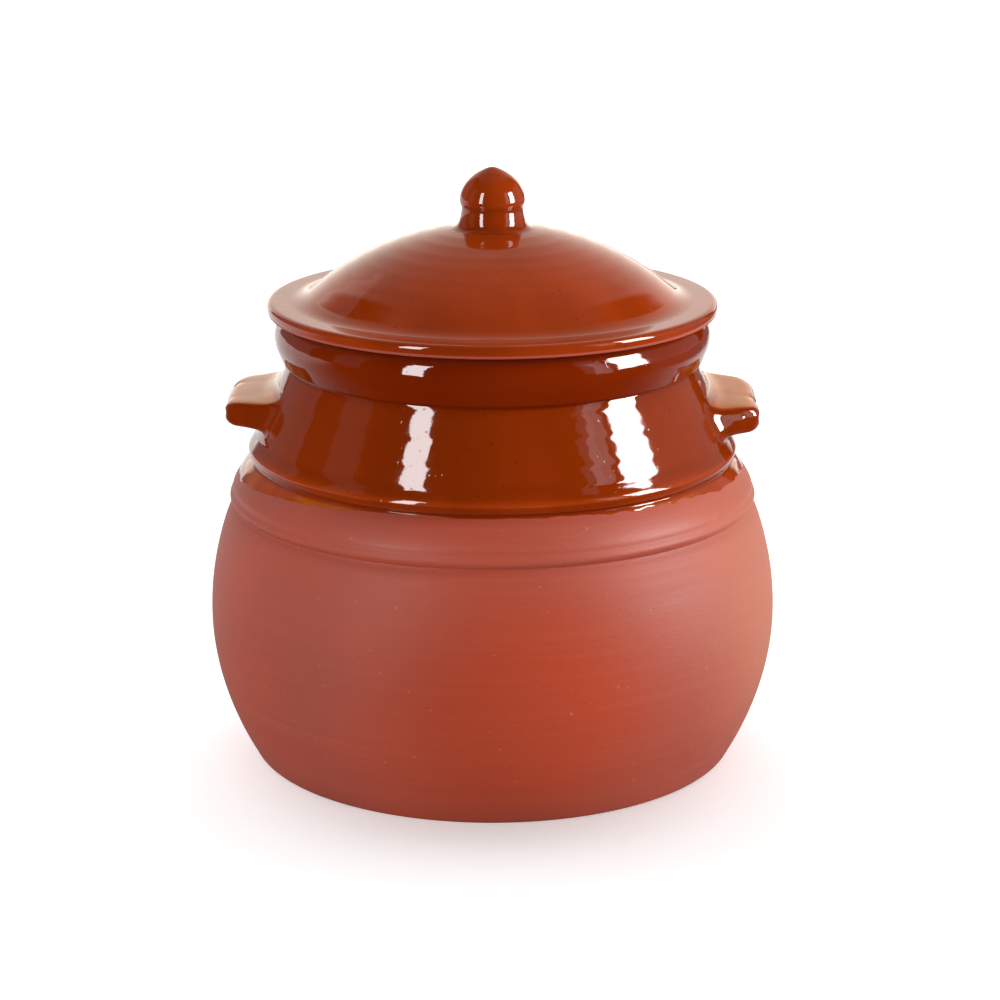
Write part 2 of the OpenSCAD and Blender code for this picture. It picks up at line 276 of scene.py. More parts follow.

# %% [markdown]
# ## Bare terracotta
# Fired red clay is matt but not dull: the wheel leaves fine level lines in it, iron gives it
# redder and browner patches, the flame leaves a dull red flush on the front, and grains and lime
# leave small dark and pale specks. A paler patch on the right flank is painted sheen, where light
# glances off that side. A flat colour would look like plastic, so noise at several scales makes
# the patches, the lines, the grain and the specks.
# All of it reads Object coordinates in metres, so 100 per metre is a pattern of about 10 mm.

# %% Terracotta
CLAY_RED = (0.310, 0.038, 0.0135, 1.0)
CLAY_BROWN = (0.260, 0.040, 0.0195, 1.0)
CLAY_PALE = (0.48, 0.13, 0.07, 1.0)
CLAY_DARK = (0.16, 0.03, 0.018, 1.0)
FLUSH = (0.31, 0.034, 0.009, 1.0)
FLUSH_AT = (0.015, -0.13, 0.055)
FLUSH_REACH = (0.025, 0.09)
FLUSH_SHINE = (0.17, 0.45)
# Painted sheen: a paler patch on the right flank, in place of the light that glances off that side.
PAINTED_SHEEN = (0.30, 0.082, 0.043, 1.0)
PAINTED_SHEEN_AT = (0.13, -0.03, 0.085)
PAINTED_SHEEN_REACH = (0.02, 0.10)
SLEEK = (0.118, 0.132, 0.0, -0.07)
PATCHES_PER_METRE = 9.0
LINES_PER_METRE = (6.0, 6.0, 420.0)
GRAINS_PER_METRE = (330.0, 330.0, 900.0)
FLECKS_PER_METRE = 420.0
FINE_RELIEF = 0.2 * MM


def noise(vector, scale, detail):
    inputs = {"Vector": vector, "Scale": scale, "Detail": detail}
    return add(vector.id_data, "ShaderNodeTexNoise", inputs).outputs["Fac"]


def stretched(vector, scale):
    return add(vector.id_data, "ShaderNodeMapping", {"Vector": vector, "Scale": scale}).outputs[0]


def away_from(vector, spot):
    """How far each point is from a spot, in metres."""
    node = add(vector.id_data, "ShaderNodeVectorMath", {0: vector, 1: spot}, operation="DISTANCE")
    return in_use(node.outputs)


def layered(colour, *layers):
    """Blends further colours over a first one; each has a value and how it eases."""
    for tint, value, *easing in layers:
        colour = blend_colours(ease(value, *easing), colour, tint)
    return colour


def terracotta():
    material = bpy.data.materials.new("terracotta")
    tree = emptied(material)
    place = add(tree, "ShaderNodeTexCoord").outputs["Object"]
    patches = noise(place, PATCHES_PER_METRE, 2.0)
    lines = noise(stretched(place, LINES_PER_METRE), 1.0, 4.0)
    grain = noise(stretched(place, GRAINS_PER_METRE), 1.0, 2.0)
    flecks = noise(place, FLECKS_PER_METRE, 0.0)
    from_flush = away_from(place, FLUSH_AT)
    from_painted_sheen = away_from(place, PAINTED_SHEEN_AT)
    colour = layered(CLAY_RED,
                     (CLAY_BROWN, patches, 0.35, 0.65),
                     (FLUSH, from_flush, *FLUSH_REACH, 0.9, 0.0),
                     # the paler patch on the right flank is painted sheen
                     (PAINTED_SHEEN, from_painted_sheen, *PAINTED_SHEEN_REACH, 1.0, 0.0),
                     (CLAY_PALE, lines, 0.35, 0.75, 0.0, 0.04),
                     (CLAY_DARK, grain, 0.55, 0.8, 0.0, 0.12),
                     (CLAY_PALE, flecks, 0.82, 0.86, 0.0, 0.35))
    height = sums("ADD", times(lines, 0.25), times(grain, 0.75))
    bump = add(tree, "ShaderNodeBump", {"Strength": 0.6, "Distance": FINE_RELIEF, "Height": height})
    rough = sums("ADD", ease(lines, 0.2, 0.8, 0.55, 0.63), ease(parts(place)["Z"], *SLEEK))
    shine = ease(from_flush, *FLUSH_REACH, *FLUSH_SHINE)
    clay = add(tree, "ShaderNodeBsdfPrincipled",
               {"Base Color": colour, "Roughness": rough, "Specular IOR Level": shine,
                "Sheen Weight": 0.04, "Sheen Roughness": 0.4, "Normal": bump.outputs[0]})
    add(tree, "ShaderNodeOutputMaterial", {"Surface": clay.outputs[0]})
    return material


TERRACOTTA = terracotta()
print("material:", TERRACOTTA.name)

# %% [markdown]
# ## Honey glaze
# The glaze is clear brown glass over the red clay. Where it is thick it is a deep red-brown, and
# where it is thin, on ridges and towards its edge, the clay shines through as amber. Each glazed
# piece therefore carries an attribute, from -1 where it pools to 1 where it is thinnest, that its
# shape mostly decides, and the material mixes colours by it. The same attribute also carries
# painted shade, darker glaze on the collar and under the ridge, and painted light, paler amber on
# the tops of the lugs. Fine orange peel and pinholes break the mirror a little.

# %% Honey glaze
# The colour of glaze pooled in grooves, which also serves as painted shade on the collar.
GLAZE_POOLED_AND_SHADED = (0.12, 0.009, 0.0002, 1.0)
GLAZE_DEEP = (0.153, 0.016, 0.0006, 1.0)
GLAZE_RED = (0.225, 0.025, 0.0025, 1.0)
GLAZE_AMBER = (0.40, 0.115, 0.009, 1.0)
PINHOLE = (0.10, 0.012, 0.002, 1.0)
DRIFT = 0.12
DRIFTS_PER_METRE = (22.0, 22.0, 9.0)
RUNS_PER_METRE = (70.0, 70.0, 12.0)
PINHOLES_PER_METRE = 520.0
PEEL_PER_METRE = 240.0


def honey_glaze():
    material = bpy.data.materials.new("honey_glaze")
    tree = emptied(material)
    place = add(tree, "ShaderNodeTexCoord").outputs["Object"]
    # How thin the glaze lies, with painted shade and painted light mixed in where the pieces set it.
    thin = add(tree, "ShaderNodeAttribute", attribute_name="thin").outputs["Fac"]
    drift = noise(stretched(place, DRIFTS_PER_METRE), 1.0, 3.0)
    runs = noise(stretched(place, RUNS_PER_METRE), 1.0, 2.0)
    pinholes = noise(place, PINHOLES_PER_METRE, 0.0)
    peel = noise(place, PEEL_PER_METRE, 2.0)
    thin = sums("ADD", thin, ease(drift, 0.35, 0.65, -DRIFT, DRIFT))
    colour = layered(GLAZE_POOLED_AND_SHADED, (GLAZE_DEEP, thin, -1.0, 0.0), (GLAZE_RED, thin, 0.0, 0.6))
    amber = times(ease(thin, 0.6, 1.0), ease(runs, 0.25, 0.75, 0.6, 1.0))
    colour = blend_colours(amber, colour, GLAZE_AMBER)
    colour = layered(colour, (PINHOLE, pinholes, 0.83, 0.86))
    pits = ease(pinholes, 0.78, 0.86)
    height = sums("SUBTRACT", times(peel, 0.5), pits)
    bump = add(tree, "ShaderNodeBump", {"Strength": 0.2, "Distance": FINE_RELIEF, "Height": height})
    rough = ease(drift, 0.3, 0.7, 0.035, 0.075)
    glass = add(tree, "ShaderNodeBsdfPrincipled",
                {"Base Color": colour, "Roughness": rough, "IOR": 1.52, "Normal": bump.outputs[0]})
    add(tree, "ShaderNodeOutputMaterial", {"Surface": glass.outputs[0]})
    return material


HONEY_GLAZE = honey_glaze()
print("material:", HONEY_GLAZE.name)

# %% [markdown]
# ## Reading a turned section from the CAD model
# A turned solid is one outline spun about the Z axis. Its mesh still shows that outline: along
# the seam, where the turn starts, the vertices lie in the plane y = 0 and edges join them in a
# row. Walking along that row gives the outline, so nothing needs to be measured twice.

# %% Section of a turned solid
SEAM_TOLERANCE = 1e-7


def section_of(node):
    """The outline of a turned CAD solid as rows of (radius, height), from the seam's lower end."""
    shape = bmesh.new()
    shape.from_mesh(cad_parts[node].data)
    bmesh.ops.remove_doubles(shape, verts=shape.verts, dist=SEAM_TOLERANCE)
    seam = {v for v in shape.verts if abs(v.co.y) < SEAM_TOLERANCE and v.co.x > -SEAM_TOLERANCE}
    next_to = {v: [e.other_vert(v) for e in v.link_edges if e.other_vert(v) in seam] for v in seam}
    ends = sorted((v for v in seam if len(next_to[v]) == 1), key=lambda v: v.co.z)
    walk = [ends[0]]
    came_from = None
    while walk[-1] is not ends[-1]:
        onward = next(v for v in next_to[walk[-1]] if v is not came_from)
        came_from = walk[-1]
        walk.append(onward)
    outline = np.array([(v.co.x, v.co.z) for v in walk])
    shape.free()
    return outline


POT_OUTLINE = section_of("pot_body")
LID_OUTLINE = section_of("lid_body")
KNOB_OUTLINE = section_of("lid_knob")
for title, outline in (("pot", POT_OUTLINE), ("lid", LID_OUTLINE), ("knob", KNOB_OUTLINE)):
    print("%s outline: %d points, up to %.1f mm" % (title, len(outline), outline[:, 1].max() / MM))

# %% [markdown]
# ## From a coarse outline to a thrown one
# The CAD outline is made of straight pieces, which would show as bands in the glossy glaze. A
# smooth curve through its points could bulge on long straight runs, so each long run keeps its
# own direction, and sharp corners stay corners. Then the whole path is softened by less than a
# millimetre, as wet fingers and a sponge do.

# %% Smooth paths
PATH_STEP = 0.25 * MM
CORNER = math.radians(30)
LONG_RUN = 2.5


def tangents(runs, lengths):
    """Directions at both ends of each straight run, shared with its neighbours except at corners."""
    starts, ends = runs.copy(), runs.copy()
    for i in range(len(runs) - 1):
        before, after = runs[i], runs[i + 1]
        if math.acos(np.clip(before @ after, -1, 1)) > CORNER:
            continue
        if lengths[i] > LONG_RUN * lengths[i + 1]:
            shared = before
        elif lengths[i + 1] > LONG_RUN * lengths[i]:
            shared = after
        else:
            shared = before * lengths[i + 1] + after * lengths[i]
        ends[i] = starts[i + 1] = shared / np.linalg.norm(shared)
    return starts, ends


def flowing(points):
    """A fine smooth path through the points."""
    steps = np.diff(points, axis=0)
    lengths = np.linalg.norm(steps, axis=1)
    starts, ends = tangents(steps / lengths[:, None], lengths)
    path = []
    for i, length in enumerate(lengths):
        t = np.arange(0, 1, PATH_STEP / max(length, PATH_STEP))[:, None]
        path.append(points[i] * (2 * t**3 - 3 * t**2 + 1) + points[i + 1] * (3 * t**2 - 2 * t**3)
                    + length * (starts[i] * (t**3 - 2 * t**2 + t) + ends[i] * (t**3 - t**2)))
    path.append(points[-1:])
    return np.concatenate(path)


def even(path):
    """The path with its points an even step apart."""
    along = np.concatenate([[0], np.cumsum(np.linalg.norm(np.diff(path, axis=0), axis=1))])
    places = np.linspace(0, along[-1], int(along[-1] / PATH_STEP) + 1)
    return np.column_stack([np.interp(places, along, path[:, k]) for k in (0, 1)])


def softened(path, reach, share=1.0):
    """The path with its corners rounded over about this reach. Its ends are kept, apart from an end
    on the axis, which is rounded as well. share can limit the rounding to some of the points."""
    smooth = path.copy()
    for _ in range(int(2 * (reach / PATH_STEP) ** 2)):
        pull = np.zeros_like(smooth)
        pull[1:-1] = (smooth[:-2] + smooth[2:] - 2 * smooth[1:-1]) / 4
        for end, inner in ((0, 1), (-1, -2)):
            if smooth[end, 0] == 0:
                pull[end, 1] = (smooth[inner, 1] - smooth[end, 1]) / 2
        smooth += pull * share
    return smooth


def on_axis(height):
    return np.array([[0.0, height]])


def outward(path):
    """Unit normals on the right of the path, which is outside the clay."""
    along = np.gradient(path, axis=0)
    along /= np.linalg.norm(along, axis=1)[:, None]
    return np.column_stack([along[:, 1], -along[:, 0]])


def bending(path):
    """How sharply the path turns, per metre; a ridge is positive and a groove negative."""
    along = np.gradient(path, axis=0)
    heading = np.unwrap(np.arctan2(along[:, 1], along[:, 0]))
    return np.gradient(heading) / PATH_STEP


POT_SOFTNESS = 0.5 * MM
pot_path = np.concatenate([on_axis(POT_OUTLINE[0, 1]), POT_OUTLINE, on_axis(POT_OUTLINE[-1, 1])])
pot_path = softened(even(flowing(pot_path)), POT_SOFTNESS)
print("pot path: %d points, %.0f mm long" % (len(pot_path), len(pot_path) * PATH_STEP / MM))

# %% [markdown]
# ## Places on the pot
# The outline goes in and out as it climbs: widest ring, crease, shoulder, groove, ridge, neck and
# collar. Each is where the radius stops growing or shrinking, so the script can find them.

# %% Find the rings
def turning_places(path):
    """Indices where the radius turns, on the way up from the base to the rim."""
    top = int(np.argmax(path[:, 1]))
    growing = np.sign(np.diff(path[:top, 0]))
    return [i + 1 for i in range(len(growing) - 1) if growing[i] * growing[i + 1] < 0], top


places, rim_top = turning_places(pot_path)
RINGS = ("widest", "crease", "shoulder", "groove", "ridge", "neck top", "collar")
for title, i in zip(RINGS, places):
    print("%-9s radius %.1f, height %.1f mm" % (title, *(pot_path[i] / MM)))
_, CREASE, _, GROOVE, RIDGE, NECK_TOP, COLLAR = places[:len(RINGS)]

# %% [markdown]
# ## Finger marks on the outline
# Highlights tell a shape more sharply than its edge does. The thin streak on the ridge means that
# its crest is tight and its upper side straight; the tall one on the collar means that the collar
# rolls over gently, and two dark lines under the shoulder mean that a rib with two teeth was held
# against it. All of them move the CAD outline by no more than two millimetres.

# %% Trim the ridge, roll the collar and press the rib in
RIDGE_LEAN = 0.15 * MM
CREST = 0.6 * MM
COLLAR_ROLL = 0.85 * MM
ROLL_HEIGHT = 7.6 * MM
RIM_FADE = 6.0 * MM
LEAN_REACH = 3.0 * MM
NECK_FOOT_WITHIN = 12.0 * MM
MARKS_WITHIN = 20.0 * MM
# Height over the crease, depth and half width of each mark, in millimetres.
CREASE_DROP = ((0.0, 1.6, 5.0),)
RIB_TEETH = ((0.0, 0.7, 1.6), (6.0, 0.8, 1.3))


def trimmed(path, first, last, lean):
    """The path with the part between two places made straight, and leaning further in at its top."""
    flat = path.copy()
    low, high = path[first, 1], path[last, 1]
    t = ((path[first:last, 1] - low) / (high - low))[:, None]
    flat[first:last] = path[first] + t * (path[last] - path[first])
    heights = (low - LEAN_REACH, low, high, high + LEAN_REACH)
    part = slice(first - int(LEAN_REACH / PATH_STEP), last + int(2 * LEAN_REACH / PATH_STEP))
    flat[part, 0] += np.interp(path[part, 1], heights, (0, lean, -lean, 0))
    return flat


def rolled(path, first, last):
    """The path rolled inwards from the collar up, and less and less on the rim's flat."""
    climb = np.maximum(path[:, 1] - path[first, 1], 0) / ROLL_HEIGHT
    fade = np.clip(1 - (np.arange(len(path)) - last) * PATH_STEP / RIM_FADE, 0, 1)
    soft = path.copy()
    soft[first:, 0] -= (COLLAR_ROLL * climb**2 * fade)[first:]
    return soft


def pressed(path, at, axis, marks):
    """The path with marks pressed in (axis 0) or down (axis 1) around a place."""
    soft = path.copy()
    reach = int(MARKS_WITHIN / PATH_STEP)
    part = slice(at - reach, at + reach)
    for height, depth, width in marks:
        away = (path[part, 1] - path[at, 1]) / MM - height
        soft[part, axis] -= depth * MM * np.exp(-((away / width) ** 2))
    return soft


neck_foot = RIDGE + int(np.argmin(bending(pot_path)[RIDGE:RIDGE + int(NECK_FOOT_WITHIN / PATH_STEP)]))
pot_path = trimmed(pot_path, RIDGE + int(CREST / PATH_STEP), neck_foot, RIDGE_LEAN)
pot_path = rolled(pot_path, COLLAR, rim_top)
pot_path = pressed(pot_path, CREASE, 1, CREASE_DROP)
pot_path = pressed(pot_path, CREASE, 0, RIB_TEETH)
pot_path = softened(pot_path, POT_SOFTNESS)
print("neck foot at radius %.1f, height %.1f mm" % tuple(pot_path[neck_foot] / MM))

# %% [markdown]
# ## A potter's wheel in Geometry Nodes
# Spin or Screw could turn an outline too, but a real pot isn't perfectly round: it wobbles
# slowly, fingers leave a rising spiral of shallow rings, and the surface ripples. A node tree can
# do all of it in one go. It makes a grid with one row per outline point, bends each row into a
# circle, and moves each vertex inwards by noise. Moving only inwards keeps the piece within the
# sizes of the CAD model. The vector attribute "glaze" rides along for the next steps.

# %% Wheel tree
WOBBLE_SIZE = 120 * MM
RING_PATCH = 30 * MM
CALM_AXIS = 12 * MM
SEAM_GAP = 2e-6
WHEEL_INPUTS = {
    "Geometry": ("Outline",),
    "Float": ("Wobble", "Ripple", "Ripple Size", "Ring Depth", "Ring Pitch", "Ring Edge"),
    "Int": ("Columns", "Seed"),
    "Material": ("Finish",),
}
VECTOR = {"data_type": "FLOAT_VECTOR"}


def wheel_tree():
    tree = bpy.data.node_groups.new("thrown_on_the_wheel", "GeometryNodeTree")
    for kind, names in WHEEL_INPUTS.items():
        for name in names:
            tree.interface.new_socket(name, in_out="INPUT", socket_type="NodeSocket" + kind)
    tree.interface.new_socket("Pot", in_out="OUTPUT", socket_type="NodeSocketGeometry")
    given = add(tree, "NodeGroupInput").outputs
    rows = add(tree, "GeometryNodeAttributeDomainSize", {"Geometry": given["Outline"]})
    count = rows.outputs["Point Count"]
    grid = add(tree, "GeometryNodeMeshGrid",
               {"Size X": 1.0, "Size Y": 1.0, "Vertices X": count,
                "Vertices Y": sums("ADD", given["Columns"], 1)})
    position = add(tree, "GeometryNodeInputPosition").outputs[0]
    spot = parts(position)
    share = sums("ADD", spot["X"], 0.5)
    row = sums("ROUND", times(share, sums("SUBTRACT", count, 1)))
    turn = times(sums("ADD", spot["Y"], 0.5), 2 * math.pi)

    def from_outline(value):
        inputs = {"Geometry": given["Outline"], "Value": value, "Index": row}
        return in_use(add(tree, "GeometryNodeSampleIndex", inputs, **VECTOR).outputs)

    def named(name):
        return in_use(add(tree, "GeometryNodeInputNamedAttribute", {"Name": name}, **VECTOR).outputs)

    def spun(radial, height):
        x = times(radial, sums("COSINE", turn))
        y = times(radial, sums("SINE", turn))
        return add(tree, "ShaderNodeCombineXYZ", {"X": x, "Y": y, "Z": height}).outputs[0]

    point = parts(from_outline(position))
    normal = parts(from_outline(named("outward")))
    glaze = from_outline(named("glaze"))
    clean = spun(point["X"], point["Z"])

    def wander(size, detail):
        scale = add(tree, "ShaderNodeMath", {0: 1.0, 1: size}, operation="DIVIDE").outputs[0]
        inputs = {"Vector": clean, "W": given["Seed"], "Scale": scale, "Detail": detail}
        return add(tree, "ShaderNodeTexNoise", inputs, noise_dimensions="4D").outputs["Fac"]

    slow = times(wander(WOBBLE_SIZE, 1.0), given["Wobble"])
    ripple = times(wander(given["Ripple Size"], 1.5), given["Ripple"])
    climb = sums("DIVIDE", point["Z"], given["Ring Pitch"])
    spiral = sums("SINE", sums("ADD", times(climb, 2 * math.pi), turn))
    groove = sums("POWER", sums("MULTIPLY_ADD", spiral, 0.5, 0.5), given["Ring Edge"])
    rings = times(groove, wander(RING_PATCH, 1.0), given["Ring Depth"])
    depth = sums("ADD", sums("ADD", slow, ripple), rings)
    depth = times(depth, ease(point["X"], 0.0, CALM_AXIS))
    inset = spun(times(normal["X"], depth), times(normal["Z"], depth))
    moved = add(tree, "ShaderNodeVectorMath", {0: clean, 1: inset}, operation="SUBTRACT").outputs[0]
    geometry = grid.outputs["Mesh"]
    for kind, inputs, settings in (
            ("StoreNamedAttribute", {"Name": "glaze", "Value": glaze}, VECTOR),
            ("SetPosition", {"Position": moved}, {}),
            ("MergeByDistance", {"Distance": SEAM_GAP}, {}),
            ("SetShadeSmooth", {}, {}),
            ("RealizeInstances", {}, {}),
            ("SetMaterial", {"Material": given["Finish"]}, {})):
        node = add(tree, "GeometryNode" + kind, {"Geometry": geometry, **inputs}, **settings)
        geometry = node.outputs[0]
    add(tree, "NodeGroupOutput", {"Pot": geometry})
    return tree


WHEEL = wheel_tree()
print("wheel tree:", len(WHEEL.nodes), "nodes")

# %% Throw an outline on the wheel
FINE_BEND = 0.012


def chosen_rows(path, count, care=1.0):
    """Indices of rows along the path, closer together where it bends and where it needs more care."""
    cost = care * (1 + FINE_BEND * np.abs(bending(path)))
    along = np.concatenate([[0], np.cumsum(cost[1:])])
    wanted = np.linspace(0, along[-1], count)
    return np.unique(np.searchsorted(along, wanted).clip(0, len(path) - 1))


def plain_mesh(carrier, name):
    """Turns what the carrier's nodes make into the plain mesh of a new object, facing outwards."""
    graph = bpy.context.evaluated_depsgraph_get()
    mesh = bpy.data.meshes.new_from_object(carrier.evaluated_get(graph), depsgraph=graph)
    bpy.data.objects.remove(carrier)
    shape = bmesh.new()
    shape.from_mesh(mesh)
    if shape.calc_volume(signed=True) < 0:
        bmesh.ops.reverse_faces(shape, faces=shape.faces)
    open_edges = sum(1 for e in shape.edges if not e.is_manifold)
    shape.to_mesh(mesh)
    shape.free()
    mesh.name = name
    piece = put(name, mesh)
    print("%s: %d faces, %d open edges" % (name, len(mesh.polygons), open_edges))
    return piece


def thrown(name, path, rows, finish, glaze=None, relief=1.0, **sizes):
    """A piece turned from a path on the wheel tree. glaze holds a vector for each point of the path,
    and relief holds how much of the wheel's marks each of them takes."""
    glaze = np.zeros((len(path), 3)) if glaze is None else glaze
    normals = outward(path) * np.reshape(relief, (-1, 1))
    mesh = bpy.data.meshes.new(name + "_outline")
    mesh.from_pydata([(r, 0, z) for r, z in path[rows]], [(i, i + 1) for i in range(len(rows) - 1)], [])
    for title, values in (("outward", np.insert(normals[rows], 1, 0, axis=1)), ("glaze", glaze[rows])):
        layer = mesh.attributes.new(title, "FLOAT_VECTOR", "POINT")
        layer.data.foreach_set("vector", np.ascontiguousarray(values, dtype=np.float32).ravel())
    carrier = put(name + "_outline", mesh)
    wheel = carrier.modifiers.new("wheel", "NODES")
    wheel.node_group = WHEEL
    sockets = {item.name: item.identifier for item in WHEEL.interface.items_tree}
    for title, value in dict(sizes, Finish=finish).items():
        wheel[sockets[title.replace("_", " ")]] = value
    return plain_mesh(carrier, name)


def vectors(items, name):
    """One vector of each item of a mesh, as rows."""
    values = np.empty(len(items) * 3, dtype=np.float32)
    items.foreach_get(name, values)
    return values.reshape(-1, 3).astype(float)


def marks_of(mesh):
    """The vectors that the vertices got from the path."""
    return vectors(mesh.attributes["glaze"].data, "vector")


print("the wheel is ready")

# %% [markdown]
# ## The bare clay vessel
# One lump of clay makes base, belly, shoulder, neck and collar. The belly was sponged smooth, so
# its rings are only a few hundredths of a millimetre deep.

# %% Clay vessel
SPONGED = {"Ripple": 0.03 * MM, "Ripple_Size": 14 * MM, "Ring_Pitch": 5 * MM, "Ring_Edge": 2.0}
clay_vessel = thrown("clay_vessel", pot_path, chosen_rows(pot_path, 250), TERRACOTTA,
                     Columns=256, Wobble=0.25 * MM, Ring_Depth=0.02 * MM, Seed=3, **SPONGED)
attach(clay_vessel, "pot")
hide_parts("pot_body")

# %% [markdown]
# ## The glaze on the pot
# The potter dips the neck and pours the inside, so the glaze is a skin with a running edge. It is
# made as a thin closed shell: the clay's own path moved outwards by the glaze's thickness, and
# back again just inside the clay. The edge could be painted, but a real bead catches the light, so
# the shell's rows on the shoulder are slid along the shoulder until they end on a wandering line.

# %% Glaze shell of the pot
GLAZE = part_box("lid_glaze")[1].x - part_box("lid_body")[1].x
GLAZE_SINK = 0.3 * MM
GLAZE_EDGE = 0.07 * MM
TUCK = 0.4 * MM
BEAD_W = 1.2 * MM
TAPER = 5.0 * MM
EDGE_REACH = 15.0 * MM
GLAZE_SOFTNESS = 0.5 * MM
POOL = 1.5 * MM
POOL_WIDTH = 3.0 * MM
# Over what reach the bends count, the thinness on the flat, its change per bend, and its least and
# most.
COAT_THIN = (1.2 * MM, 0.05, 0.0022, -0.8, 0.75)
# Under the ridge the glaze is kept red-brown: partly glaze that pools there, partly painted shade.
POOL_AND_SHADE_UNDER_RIDGE = 0.15
# On the collar the glaze is made nearly as dark as pooled glaze: painted shade under the lid's flange.
PAINTED_SHADE_ON_COLLAR = -0.7
OUTSIDE_CARE = 4.0
EDGE_ROWS = 14
CALM_EDGE = 6.0 * MM


def eased(share):
    """A share from 0 to 1 that starts and stops gently."""
    share = np.clip(share, 0, 1)
    return share * share * (3 - 2 * share)


def bead(distance, swell=0.0):
    """Height of the glaze above the clay at this distance from its edge, which a drip may swell."""
    edge = GLAZE_EDGE + swell
    full = edge + (GLAZE - edge) * eased(distance / TAPER)
    tuck = np.clip(1 - distance / TUCK, 0, 1)
    return full * eased((distance - TUCK) / BEAD_W) - GLAZE_SINK * tuck**1.5


def on_face(values, back=0.0):
    """Values for a closed shell: one for all of its back, then these for its face."""
    return np.concatenate([np.full(len(values), back), values[1:]])


def mirrored(values):
    """Values for a closed shell, the same on its back as on its face."""
    return np.concatenate([values[::-1], values[1:]])


def shell(path, edge_distance):
    """Closed path of a skin over a clay path, and how high each of its points lies over the clay."""
    normals = outward(path)
    lift = bead(edge_distance)
    face = path + lift[:, None] * normals
    back = path - GLAZE_SINK * normals
    return np.concatenate([back[::-1], face[1:]]), on_face(lift, -GLAZE_SINK)


def shell_rows(path, back, face, care=1.0, edge=0):
    """Rows of a closed shell: a few for its back, more for its face, and every one near its edge."""
    front = np.concatenate([np.arange(edge), chosen_rows(path, face, care)])
    return np.unique(np.concatenate([chosen_rows(path[::-1], back), front + len(path) - 1]))


def thinness(path, reach, flat, per_bend, least, most):
    """How thin the glaze lies along a path, which its bends decide."""
    bends = softened(np.column_stack([bending(path)] * 2), reach)[:, 0]
    return np.clip(flat + per_bend * bends, least, most)


first = GROOVE - int(EDGE_REACH / PATH_STEP)
coat_path = softened(pot_path[first:], GLAZE_SOFTNESS)
in_groove = np.exp(-((np.arange(len(coat_path)) - (GROOVE - first)) * PATH_STEP / POOL_WIDTH) ** 2)
coat_path = softened(coat_path, POOL, in_groove[:, None])
coat_run = np.arange(len(coat_path)) * PATH_STEP
coat_whole, coat_lift = shell(coat_path, coat_run)
coat_below = EDGE_REACH - coat_run
coat_thin = thinness(coat_path, *COAT_THIN)
# Painted shade: the glaze on the collar is darkened, and the glaze under the ridge kept red-brown.
for low, high, most in ((GROOVE, RIDGE, POOL_AND_SHADE_UNDER_RIDGE), (NECK_TOP, rim_top, PAINTED_SHADE_ON_COLLAR)):
    band = slice(low - first, high - first)
    coat_thin[band] = np.minimum(coat_thin[band], most)
coat_marks = np.column_stack([mirrored(coat_thin), mirrored(coat_below), coat_lift])
care = np.where(np.arange(len(coat_path)) < rim_top - first, OUTSIDE_CARE, 1.0)
coat_rows = shell_rows(coat_path, 28, 250, care, EDGE_ROWS)
coat_relief = on_face(np.clip((coat_run - EDGE_REACH) / CALM_EDGE, 0, 1))
glaze_coat = thrown("glaze_coat", coat_whole, coat_rows, HONEY_GLAZE, coat_marks, coat_relief,
                    Columns=320, Wobble=0.12 * MM, Ripple=0.19 * MM, Ripple_Size=6.5 * MM,
                    Ring_Depth=0.19 * MM, Ring_Pitch=11.3 * MM, Ring_Edge=8.0, Seed=8)

# %% [markdown]
# ## The running edge
# Seen from the front the glaze stops just under the groove. It runs lower towards the sides, the
# left most of all, and the back, because the pot was dipped at a tilt, and its line wavers, with a
# drip here and there.

# %% Slide the edge
EDGE_FRONT = 1.6 * MM
EDGE_TILT = 12.0 * MM
EDGE_RISE = 0.78
EDGE_LEFT = 3.2 * MM
# Count round the pot, height in millimetres and phase of each wave of the edge.
WAVES = ((5, 0.35, 0.4), (11, 0.30, 2.1), (23, 0.22, 4.0), (41, 0.12, 1.3), (67, 0.10, 5.2))
# Azimuth and half width in degrees, and length in millimetres, of each drip.
DRIPS = ((34, 2.5, 1.3), (27, 1.4, 0.7), (12, 1.6, 0.45), (-47, 2.2, 0.9), (63, 2.6, 1.2),
         (-78, 2.4, 1.4), (118, 3.0, 1.7), (-131, 2.6, 1.2), (160, 2.2, 1.5), (-172, 2.8, 1.0),
         (39, 1.3, 0.7), (45, 1.8, 1.1), (51, 1.4, 0.6))
SWELL = 0.14
EDGE_LIMITS = (0.5 * MM, EDGE_REACH - 0.2 * MM)
AMBER_RUN = 3.0 * MM
AMBER_FROM = -0.3
AMBER_LIMITS = (-0.2, 0.66)
HUG_REACH = 5.0 * MM
HUG_FULL = 0.2
HUG_DEPTH = 0.36 * MM
HUG_FROM = 2.0 * MM


def drips(azimuth):
    """How far the drips run below the rest of the edge."""
    run = np.zeros_like(azimuth)
    for centre, width, height in DRIPS:
        away = np.degrees(np.angle(np.exp(1j * (azimuth - math.radians(centre)))))
        run = run + height * MM * np.exp(-((away / width) ** 2))
    return run


def edge_length(azimuth):
    """How far below the groove the glaze ends, along the shoulder, at each azimuth from the front."""
    length = EDGE_FRONT + EDGE_TILT * np.tanh(EDGE_RISE * (1 - np.cos(azimuth)))
    length = length + EDGE_LEFT * np.maximum(-np.sin(azimuth), 0) ** 3
    for count, height, phase in WAVES:
        length = length + height * MM * np.sin(count * azimuth + phase)
    return np.clip(length + drips(azimuth), *EDGE_LIMITS)


def face_of(piece):
    """A search tree of a piece's faces, to find where a ray meets them."""
    shape = bmesh.new()
    shape.from_mesh(piece.data)
    tree = BVHTree.FromBMesh(shape)
    shape.free()
    return tree


CLAY_FACE = face_of(clay_vessel)


def clay_offset(place, way):
    """How far the thrown clay lies above its outline, along the outline's normal at a place."""
    place, way = Vector(place), Vector(way)
    return (CLAY_FACE.ray_cast(place + HUG_FROM * way, -way)[0] - place).dot(way)


